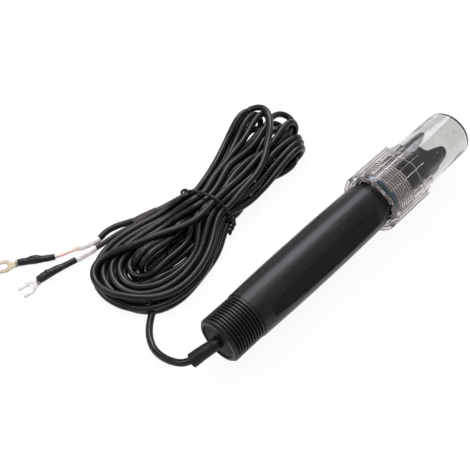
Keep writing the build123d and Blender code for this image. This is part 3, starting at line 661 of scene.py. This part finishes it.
def skin(name, line, radii, material, wide=None, sides=20):
    """A tube over a line, with a radius in millimetres at each place and flattened by wide."""
    p = np.array(line)
    along = np.gradient(p, axis=0)
    along /= np.linalg.norm(along, axis=1)[:, None]
    up = np.array([0.0, 0.0, 1.0])
    verts, faces = [], []
    for k in range(len(p)):
        side = np.cross(up, along[k])
        side /= np.linalg.norm(side)
        top = np.cross(along[k], side)
        flat = 1.0 if wide is None else wide[k]
        for m in range(sides):
            t = 2 * math.pi * m / sides
            out = side * math.cos(t) * flat + top * math.sin(t) / flat
            verts.append(tuple(p[k] + MM * radii[k] * out))
    for k in range(len(p) - 1):
        for m in range(sides):
            n = (m + 1) % sides
            faces.append((k * sides + m, k * sides + n, (k + 1) * sides + n, (k + 1) * sides + m))
    faces.append(tuple(range(sides - 1, -1, -1)))
    faces.append(tuple((len(p) - 1) * sides + m for m in range(sides)))
    mesh = bpy.data.meshes.new(name)
    mesh.from_pydata(verts, [], faces)
    piece = bpy.data.objects.new(name, mesh)
    bpy.context.scene.collection.objects.link(piece)
    bare_scene()
    piece.select_set(True)
    bpy.context.view_layer.objects.active = piece
    bpy.ops.object.mode_set(mode="EDIT")
    bpy.ops.mesh.select_all(action="SELECT")
    bpy.ops.mesh.normals_make_consistent(inside=False)
    bpy.ops.object.mode_set(mode="OBJECT")
    mesh.materials.append(material)
    bpy.ops.object.shade_smooth_by_angle(angle=SKIN_SMOOTH)
    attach(piece, "probe")
    return piece


def sleeve_over(name, line, start, end, radius, material, lumps, flat=1.0, steps=24, phase=0.0,
                swell=()):
    """A sleeve on a lead between two stations, with soft lumps, cut ends and any swelling."""
    places = stretch_of(line, start, end, steps)
    radii, wide = [], []
    for k in range(steps):
        t = k / (steps - 1)
        lump = sum(h * math.sin(often * t + share * phase) for h, often, share in LUMP_WAVES)
        edge = min(1.0, CUT_END_SHARE + CUT_END_GAIN * min(k, steps - 1 - k))
        if swell:
            edge *= float(np.interp(t, *swell))
        radii.append(radius * edge * (1.0 + lumps * lump))
        wide.append(flat ** math.sin(math.pi * t))
    lowest = (np.array(radii) * FLOOR_SHARE + FLOOR_GAP) * MM
    places[:, 2] = np.maximum(places[:, 2], lowest)
    return skin(name, places, radii, material, wide)


def make_signal_lead():
    lead = smooth_cord("signal_wire", SIGNAL_ROUTE, SIGNAL_R, PINK, steps=LEAD_STEPS)
    line = line_of(lead)
    tube = sleeve_over("signal_black_tube", line, start=29.0, end=6.4, radius=1.85,
                       material=SLEEVE, lumps=0.03)
    marker = sleeve_over("signal_white_marker", line, start=6.6, end=-5.2, radius=2.0,
                         material=MARKER, lumps=0.015, phase=1.0)
    lens = sleeve_over("signal_clear_end", line, start=-5.0, end=-7.0, radius=1.6,
                       material=PINK, lumps=0.02, steps=6)
    shrink = sleeve_over("signal_shrunk_tube", line, start=-18.6, end=-35.6, radius=1.75,
                         material=WRINKLED, lumps=0.07, flat=1.08, steps=48, phase=2.0,
                         swell=SIGNAL_SWELL)
    for piece, slot, *nodes in ((lead, "inner_wire", "signal_core"),
                                (tube, "black_sleeve", "signal_tube"),
                                (marker, "white_marker", "signal_marker"),
                                (lens, "inner_wire"),
                                (shrink, "black_sleeve", "signal_shrink")):
        if nodes:
            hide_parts(*nodes)


def make_shield_lead():
    lead = smooth_cord("shield_wire_sleeving", SHIELD_ROUTE, SHIELD_R, SHIELD, steps=LEAD_STEPS)
    line = line_of(lead)
    marker = sleeve_over("shield_white_marker", line, start=0.8, end=-11.6, radius=2.0,
                         material=MARKER, lumps=0.015, phase=0.4)
    shrink = sleeve_over("shield_shrunk_tube", line, start=-11.7, end=-34.6, radius=1.75,
                         material=WRINKLED, lumps=0.06, flat=1.06, steps=48, phase=3.0,
                         swell=SHIELD_SWELL)
    for piece, slot, node in ((lead, "shield_wire", "shield_core"),
                              (marker, "white_marker", "shield_marker"),
                              (shrink, "black_sleeve", "shield_shrink")):
        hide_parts(node)


make_signal_lead()
make_shield_lead()

# The shrunk sleeve over the place where the cable divides, flattened at its far end.
SPLIT_PLACES = [
    (43.5, 93.2, 3.1), (41.5, 93.5, 3.1), (37.5, 94.4, 3.1), (33.5, 95.3, 3.0), (30.0, 96.0, 2.9),
    (27.6, 96.4, 2.8),
]
SPLIT_RADII = [2.35, 2.6, 2.65, 2.7, 2.65, 2.4]
SPLIT_WIDE = [1.0, 1.0, 1.08, 1.18, 1.25, 1.25]


def make_split():
    places = [spot(*p) for p in SPLIT_PLACES]
    split = skin("split_shrunk_sleeve", places, SPLIT_RADII, SPLIT, wide=SPLIT_WIDE)
    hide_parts("split_sleeve")
    return split


# The tie: a thin plastic-covered wire, twice round the hank's waist, with a small loop at its
# upper side and its two ends twisted together along the hank's lower side.

TIE_R = 0.75
TIE_SLANT = 0.13
TIE_PITCH = 1.7
TIE_MIDDLE_STATION = 62.8
WAIST_RING = [
    (86.9, 3.2), (87.9, 8.5), (85.4, 13.0), (79.0, 16.9), (72.5, 19.4), (66.0, 20.7), (60.6, 18.8),
    (55.6, 13.8), (52.4, 10.2), (51.6, 6.4), (53.6, 2.4), (57.4, 0.8), (64.0, 0.8), (72.0, 0.8),
    (80.0, 0.8), (84.8, 1.1),
]
TIE_LOOP = [
    (61.4, 88.0, 6.2), (59.9, 89.0, 7.8), (59.4, 89.1, 9.8), (60.5, 88.4, 11.4), (62.3, 86.8, 11.8),
]
TIE_FIRST_END = [(66.8, 52.3, 9.0), (66.0, 53.0, 11.6)]
TIE_LAST_END = [(64.6, 53.2, 11.0), (65.6, 52.6, 8.8)]
TWIST_START = (66.0, 52.0, 7.2)
TWIST_RUN = (-6.5, -1.9, -2.0)
TWIST_R = 0.75
TWIST_ANGLE = 2.4 * math.pi
TWIST_STEPS = 12


def round_waist(turn, first, last):
    """Places of one turn of the tie, from one row of the ring up to another."""
    places = []
    for k in range(first, last):
        y, z = WAIST_RING[k]
        shift = TIE_PITCH * (turn + k / len(WAIST_RING)) - TIE_PITCH
        places.append((TIE_MIDDLE_STATION + TIE_SLANT * (WAIST_MIDDLE_Y - y) + shift, y, z))
    return places


def twisted_end(phase):
    """One of the tie's two ends, wound round the other."""
    strand = []
    for k in range(TWIST_STEPS + 1):
        t = k / TWIST_STEPS
        station, y, z = (a + run * t for a, run in zip(TWIST_START, TWIST_RUN))
        angle = phase + t * TWIST_ANGLE
        strand.append((station, y + TWIST_R * math.cos(angle), z + TWIST_R * math.sin(angle)))
    return strand


def make_tie():
    rings = round_waist(0, 8, 16) + TIE_LOOP + round_waist(1, 1, 10)
    places = twisted_end(0.0)[::-1] + TIE_FIRST_END + rings + TIE_LAST_END + twisted_end(math.pi)
    tie = smooth_cord("twist_tie_wire", places, TIE_R, TIE, steps=5)
    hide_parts("twist_tie")
    return tie


# The sleeve over the cable at the rear face: pressed a little flat, wider at its cut end.
SLEEVE_PLACES = [
    (3.4, 0.0, 18.6), (-0.4, 0.0, 18.6), (-3.0, 0.3, 18.2), (-6.4, 1.6, 16.6), (-9.6, 3.0, 14.5),
    (-12.2, 4.05, 12.6), (-13.6, 4.7, 11.6),
]
SLEEVE_COUNT = 20
# at some of its places: their number, and the radius or the flattening there
SLEEVE_RADII = ((0, 4, 7, 19), (3.15, 3.2, 3.4, 3.65))
SLEEVE_WIDE = ((0, 5, 19), (1.0, 1.02, 1.12))


def make_sleeve():
    places = [spot(*p) for p in SLEEVE_PLACES]
    line = stretch_of(places, SLEEVE_PLACES[0][0], SLEEVE_PLACES[-1][0], SLEEVE_COUNT)
    radii = [float(np.interp(k, *SLEEVE_RADII)) for k in range(SLEEVE_COUNT)]
    wide = [float(np.interp(k, *SLEEVE_WIDE)) for k in range(SLEEVE_COUNT)]
    sleeve = skin("rear_sleeve", line, radii, SLEEVE, wide, sides=28)
    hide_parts("strain_relief")
    return sleeve


sleeve = make_sleeve()
split = make_split()
tie = make_tie()

# The storage bottle: one clear moulding, turned up ring by ring about the probe's axis.
# Outlines are (station, radius).

PROBE_AXIS_Z = AXIS_Z * MM
BOTTLE_SEGMENTS = 104
BOTTLE_SMOOTH = math.radians(28.0)
SAME_PLACE = 1e-7
COLLAR_START, COLLAR_END = 122.5, 158.0
COLLAR_R, COLLAR_BASE_R = 18.6, 16.9
COLLAR_THREAD_START, COLLAR_THREAD_END = 129.5, 143.6
FIRST_GROOVE = 129.6
THREAD_PITCH = 1.814
THREAD_R, GROOVE_R = 13.85, 14.55
GROOVE_HALF, GROOVE_FLOOR_HALF, GROOVE_END_GAP = 0.62, 0.18, 0.6
RIB_START, RIB_END = 126.5, 157.0
RIB_COUNT, RIB_TURN, RIB_SEGMENTS = 8, 22.5, 4
RIB_FOOT_R = 16.5
RIB_BEVEL = 0.3
RIB_MIDDLE = 140.0
# The foot's and the bore's round corners: their centres and radii.
FOOT_CORNER, FOOT_ROUND = (197.4, 12.45), 2.6
BORE_CORNER, BORE_ROUND = (196.8, 12.3), 1.4
BOTTLE_FOOT = [(199.2, 0.3), (199.2, 8.6), (199.45, 10.0), (199.9, 11.2), (200.0, 11.9)]
BOTTLE_SIDE = [
    (180.0, 15.05), (158.3, 15.6), (COLLAR_END, 15.9), (COLLAR_END, 16.5), (157.6, COLLAR_BASE_R),
    (RIB_END, COLLAR_BASE_R), (RIB_START, COLLAR_BASE_R), (126.05, COLLAR_BASE_R), (125.95, 17.1),
    (125.95, 18.3), (125.65, COLLAR_R), (122.9, COLLAR_R), (COLLAR_START, 18.2),
    (COLLAR_START, 15.5), (123.3, 14.65),
]
MOUTH_INSIDE = [
    (COLLAR_THREAD_START - 0.15, 14.65), (COLLAR_THREAD_START, 14.5), (COLLAR_THREAD_START, 13.95),
    (COLLAR_THREAD_START + 0.1, THREAD_R),
]
BORE_INSIDE = [
    (COLLAR_THREAD_END, THREAD_R), (COLLAR_THREAD_END + 0.1, 13.7), (150.7, 13.7), (150.85, 13.5),
    (151.15, 13.5), (151.3, 13.7), (170.0, 13.7),
]
BOTTLE_FLOOR = [(198.0, 10.0), (197.5, 8.2), (197.4, 0.3)]
# Painted reflection on the thread or a thick collar: between which stations, and inside or outside
# which radii.
THREAD_LEAST_R, THREAD_MOST_R = 13.9, 14.8
THREAD_FOOT, THREAD_FOOT_R = (143.55, 143.75), 13.9
SEAL_RIDGE, SEAL_RIDGE_R = (150.6, 151.4), 13.69
THICK_END, THICK_R = COLLAR_END + 0.1, 14.9


def start_ring(station, radius, segments):
    bare_scene()
    bpy.ops.mesh.primitive_circle_add(vertices=segments, radius=radius * MM,
                                      location=spot(station, 0.0, AXIS_Z),
                                      rotation=(0.0, math.pi / 2, 0.0))
    piece = bpy.context.object
    bpy.ops.object.transform_apply(location=True, rotation=True, scale=True)
    bpy.ops.object.mode_set(mode="EDIT")
    bpy.ops.mesh.select_all(action="SELECT")
    return piece


def close_ring():
    """Draws the ring that is selected to a point at its middle."""
    bpy.ops.mesh.extrude_region_move()
    bpy.ops.mesh.merge(type="CENTER")


def turn_up(name, outline, segments):
    """Draws a ring along the outline's (station, radius) places and closes it at both ends."""
    piece = start_ring(*outline[0], segments)
    piece.name = name
    close_ring()
    bpy.ops.mesh.select_all(action="SELECT")
    bpy.ops.mesh.select_non_manifold(extend=False)
    for (s0, r0), (s1, r1) in zip(outline, outline[1:]):
        run = ((s1 - s0) * MM, 0.0, 0.0)
        bpy.ops.mesh.extrude_region_move(TRANSFORM_OT_translate={"value": run})
        if abs(r1 - r0) > TINY:
            bpy.ops.transform.resize(value=(1.0, r1 / r0, r1 / r0),
                                     center_override=spot(s1, 0.0, AXIS_Z))
    close_ring()
    bpy.ops.mesh.select_all(action="SELECT")
    bpy.ops.mesh.remove_doubles(threshold=SAME_PLACE)
    bpy.ops.mesh.normals_make_consistent(inside=False)
    bpy.ops.object.mode_set(mode="OBJECT")
    return piece


def about_axis(centre):
    """A face's centre as its station, radius and angle in degrees about the probe's axis."""
    y, z = centre.y, centre.z - PROBE_AXIS_Z
    return station_of(centre.x), math.hypot(y, z) / MM, math.degrees(math.atan2(z, y)) % 360.0


def pick_faces(piece, test):
    """Selects the faces whose station, radius and angle the test takes."""
    bpy.ops.object.mode_set(mode="OBJECT")
    for part in (piece.data.vertices, piece.data.edges):
        part.foreach_set("select", [False] * len(part))
    for face in piece.data.polygons:
        face.select = test(*about_axis(face.center))
    bpy.ops.object.mode_set(mode="EDIT")
    bpy.ops.mesh.select_mode(type="FACE")


def soft_corner(centre, radius, start, end, steps):
    """Places round a corner of the outline, from one angle to another in degrees."""
    turn = [math.radians(start + (end - start) * i / steps) for i in range(steps + 1)]
    return [(centre[0] + radius * math.cos(t), centre[1] + radius * math.sin(t)) for t in turn]


def collar_grooves():
    """The grooves of the collar's thread, one for each turn."""
    places = []
    station = FIRST_GROOVE + THREAD_PITCH / 2
    while station + GROOVE_END_GAP < COLLAR_THREAD_END:
        places += [(station - GROOVE_HALF, THREAD_R), (station - GROOVE_FLOOR_HALF, GROOVE_R),
                   (station + GROOVE_FLOOR_HALF, GROOVE_R), (station + GROOVE_HALF, THREAD_R)]
        station += THREAD_PITCH
    return places


def bottle_outline():
    outside = BOTTLE_FOOT + soft_corner(FOOT_CORNER, FOOT_ROUND, 0.0, 90.0, 5) + BOTTLE_SIDE
    inside = MOUTH_INSIDE + collar_grooves() + BORE_INSIDE
    return outside + inside + soft_corner(BORE_CORNER, BORE_ROUND, 90.0, 0.0, 4) + BOTTLE_FLOOR


def on_rib(station, radius, angle):
    """Whether a face of the collar lies where a rib rises from it."""
    per_rib = 360.0 / RIB_COUNT
    off = (angle - RIB_TURN + per_rib / 2) % per_rib - per_rib / 2
    half = RIB_SEGMENTS / 2 * 360.0 / BOTTLE_SEGMENTS + 0.01
    return RIB_START < station < RIB_END and radius > RIB_FOOT_R and abs(off) < half


def bottle_finish(station, radius):
    """Which finish a bottle face has: 0 clear, 1 thread with painted reflection, 2 thick collar."""
    on_thread = (COLLAR_THREAD_START < station < COLLAR_THREAD_END
                 and THREAD_LEAST_R < radius < THREAD_MOST_R)
    on_foot = THREAD_FOOT[0] < station < THREAD_FOOT[1] and radius < THREAD_FOOT_R
    on_ridge = SEAL_RIDGE[0] < station < SEAL_RIDGE[1] and radius < SEAL_RIDGE_R
    if on_thread or on_foot or on_ridge:
        return 1
    return 2 if station < THICK_END and radius > THICK_R else 0


def make_bottle():
    bottle = turn_up("clear_bottle", bottle_outline(), BOTTLE_SEGMENTS)
    pick_faces(bottle, on_rib)
    bpy.ops.mesh.extrude_region_move()
    grow = COLLAR_R / COLLAR_BASE_R
    bpy.ops.transform.resize(value=(1.0, grow, grow), center_override=spot(RIB_MIDDLE, 0.0, AXIS_Z))
    bpy.ops.mesh.region_to_loop()
    bpy.ops.mesh.bevel(offset=RIB_BEVEL * MM, segments=2, affect="EDGES")
    bpy.ops.mesh.select_all(action="SELECT")
    bpy.ops.mesh.normals_make_consistent(inside=False)
    bpy.ops.object.mode_set(mode="OBJECT")
    for material in (CLEAR, THREAD_PAINTED_REFLECTION, THICK):
        bottle.data.materials.append(material)
    # Faces on the collar's thread take the pale painted reflection.
    for face in bottle.data.polygons:
        station, radius, _ = about_axis(face.center)
        face.material_index = bottle_finish(station, radius)
    bpy.ops.object.shade_smooth_by_angle(angle=BOTTLE_SMOOTH)
    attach(bottle, "bottle")
    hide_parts("storage_bottle")
    return bottle


make_bottle()

# Drops of the storage solution that cling to the bottle's inner wall: station, angle in
# degrees about the probe's axis, and radius.

DROPS = [
    (186.5, 96, 1.0), (191.0, 118, 0.8), (176.0, 104, 0.7), (188.0, 74, 0.6), (172.0, 128, 0.5),
    (166.5, 86, 0.45),
]
DROP_REACH = 13.62
DROP_SCALE = (1.25, 0.55, 1.0)
DROP_SMOOTH = math.radians(50.0)


def make_drop(station, angle, size):
    bare_scene()
    t = math.radians(angle)
    place = spot(station, DROP_REACH * math.cos(t), AXIS_Z + DROP_REACH * math.sin(t))
    bpy.ops.mesh.primitive_ico_sphere_add(subdivisions=3, radius=size * MM, location=place,
                                          rotation=(t, 0.0, 0.0))
    drop = bpy.context.object
    bpy.ops.object.mode_set(mode="EDIT")
    bpy.ops.mesh.select_all(action="SELECT")
    bpy.ops.mesh.bisect(plane_co=drop.location, plane_no=(0.0, math.cos(t), math.sin(t)),
                        clear_outer=True, use_fill=True)
    bpy.ops.object.mode_set(mode="OBJECT")
    drop.scale = DROP_SCALE
    bpy.ops.object.transform_apply(location=True, rotation=True, scale=True)
    return drop


def make_drops():
    drops = [make_drop(*row) for row in DROPS]
    bare_scene()
    for drop in drops:
        drop.select_set(True)
    bpy.context.view_layer.objects.active = drops[0]
    bpy.ops.object.join()
    drops[0].name = "clinging_drops"
    drops[0].data.materials.append(SOLUTION)
    bpy.ops.object.shade_smooth_by_angle(angle=DROP_SMOOTH)
    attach(drops[0], "bottle")


make_drops()

# Floor, lights and the white around them.

WHITE = (1.0, 1.0, 1.0, 1.0)
FLOOR_SIZE = 2.6
FLOOR_PLACE = (0.05, 0.05, -0.0001)
FLOOR_COLOUR = (0.86, 0.86, 0.86, 1.0)
# how far what the camera, a reflection or the clear plastic sees of the floor is plain white
FLOOR_WHITE_SHARE = 0.93
# how much of the white a ray sees at least, and the light's strength to diffuse and glossy rays
LEAST_WHITE = 0.5
WORLD_DIFFUSE, WORLD_GLOSSY = 0.30, 0.11


def joined(tree, operation, first, second):
    """The output of a Math node on two outputs, or on an output and a number."""
    node = add_node(tree, "Math", operation)
    tree.links.new(first, node.inputs[0])
    if isinstance(second, float):
        node.inputs[1].default_value = second
    else:
        tree.links.new(second, node.inputs[1])
    return node.outputs[0]


def mixed_into(tree, factor, first, second, surface):
    """Two shaders mixed by a factor, linked to the surface of a material or world."""
    blend = add_node(tree, "MixShader")
    tree.links.new(factor, blend.inputs["Fac"])
    tree.links.new(first.outputs[0], blend.inputs[1])
    tree.links.new(second.outputs[0], blend.inputs[2])
    tree.links.new(blend.outputs[0], surface)


def make_floor():
    bare_scene()
    bpy.ops.mesh.primitive_plane_add(size=FLOOR_SIZE, location=FLOOR_PLACE)
    floor = bpy.context.object
    floor.name = "floor"
    material = bpy.data.materials.new("pale_floor")
    material.use_nodes = True
    tree = material.node_tree
    shader = tree.nodes["Principled BSDF"]
    shader.inputs["Base Color"].default_value = FLOOR_COLOUR
    shader.inputs["Roughness"].default_value = 0.9
    shader.inputs["Specular IOR Level"].default_value = 0.0
    white = add_node(tree, "Emission", Color=WHITE, Strength=1.0)
    ray = add_node(tree, "LightPath").outputs
    seen = joined(tree, "MAXIMUM", ray["Is Camera Ray"], ray["Is Glossy Ray"])
    seen = joined(tree, "MAXIMUM", seen, ray["Is Transmission Ray"])
    share = joined(tree, "MULTIPLY", seen, FLOOR_WHITE_SHARE)
    mixed_into(tree, share, shader, white, tree.nodes["Material Output"].inputs["Surface"])
    floor.data.materials.append(material)


def make_world():
    world = bpy.data.worlds.new("studio")
    bpy.context.scene.world = world
    world.use_nodes = True
    tree = world.node_tree
    light = tree.nodes["Background"]
    light.inputs["Color"].default_value = WHITE
    white = add_node(tree, "Background", Color=WHITE, Strength=1.0)
    ray = add_node(tree, "LightPath").outputs
    # White straight through the clear plastic, but not by way of a reflection inside it.
    straight = add_node(tree, "MapRange", To_Min=1.0, To_Max=0.0)
    tree.links.new(ray["Glossy Depth"], straight.inputs["Value"])
    through = joined(tree, "MULTIPLY", ray["Is Transmission Ray"], straight.outputs["Result"])
    seen = joined(tree, "MAXIMUM", ray["Is Camera Ray"], LEAST_WHITE)
    seen = joined(tree, "MAXIMUM", seen, through)
    mixed_into(tree, seen, light, white, tree.nodes["World Output"].inputs["Surface"])
    strength = add_node(tree, "MapRange", To_Min=WORLD_DIFFUSE, To_Max=WORLD_GLOSSY)
    tree.links.new(ray["Is Glossy Ray"], strength.inputs["Value"])
    tree.links.new(strength.outputs["Result"], light.inputs["Strength"])


def soft_light(name, place, aim, width, height, power, colour=(1.0, 1.0, 1.0)):
    data = bpy.data.lights.new(name, "AREA")
    data.shape = "RECTANGLE"
    data.size = width
    data.size_y = height
    data.energy = power
    data.color = colour
    lamp = bpy.data.objects.new(name, data)
    bpy.context.scene.collection.objects.link(lamp)
    lamp.location = place
    lamp.rotation_euler = (Vector(aim) - Vector(place)).to_track_quat("-Z", "Y").to_euler()


make_floor()
make_world()
soft_light("softbox_key", place=(0.31, 0.54, 0.78), aim=(-0.03, 0.03, 0.0), width=0.60,
           height=0.66, power=7.3, colour=(0.965, 0.935, 1.0))
soft_light("softbox_bottle", place=(0.72, 0.50, 0.64), aim=(0.06, 0.0, 0.02), width=0.44,
           height=0.42, power=1.7, colour=(0.94, 0.91, 1.0))
soft_light("softbox_left", place=(-0.60, 0.55, 0.75), aim=(0.0, 0.03, 0.0), width=0.35,
           height=0.50, power=2.4)
soft_light("softbox_top", place=(0.0, -0.05, 1.15), aim=(0.0, 0.03, 0.0), width=0.40,
           height=0.40, power=2.2)

scene = bpy.context.scene
scene.view_settings.view_transform = "Standard"
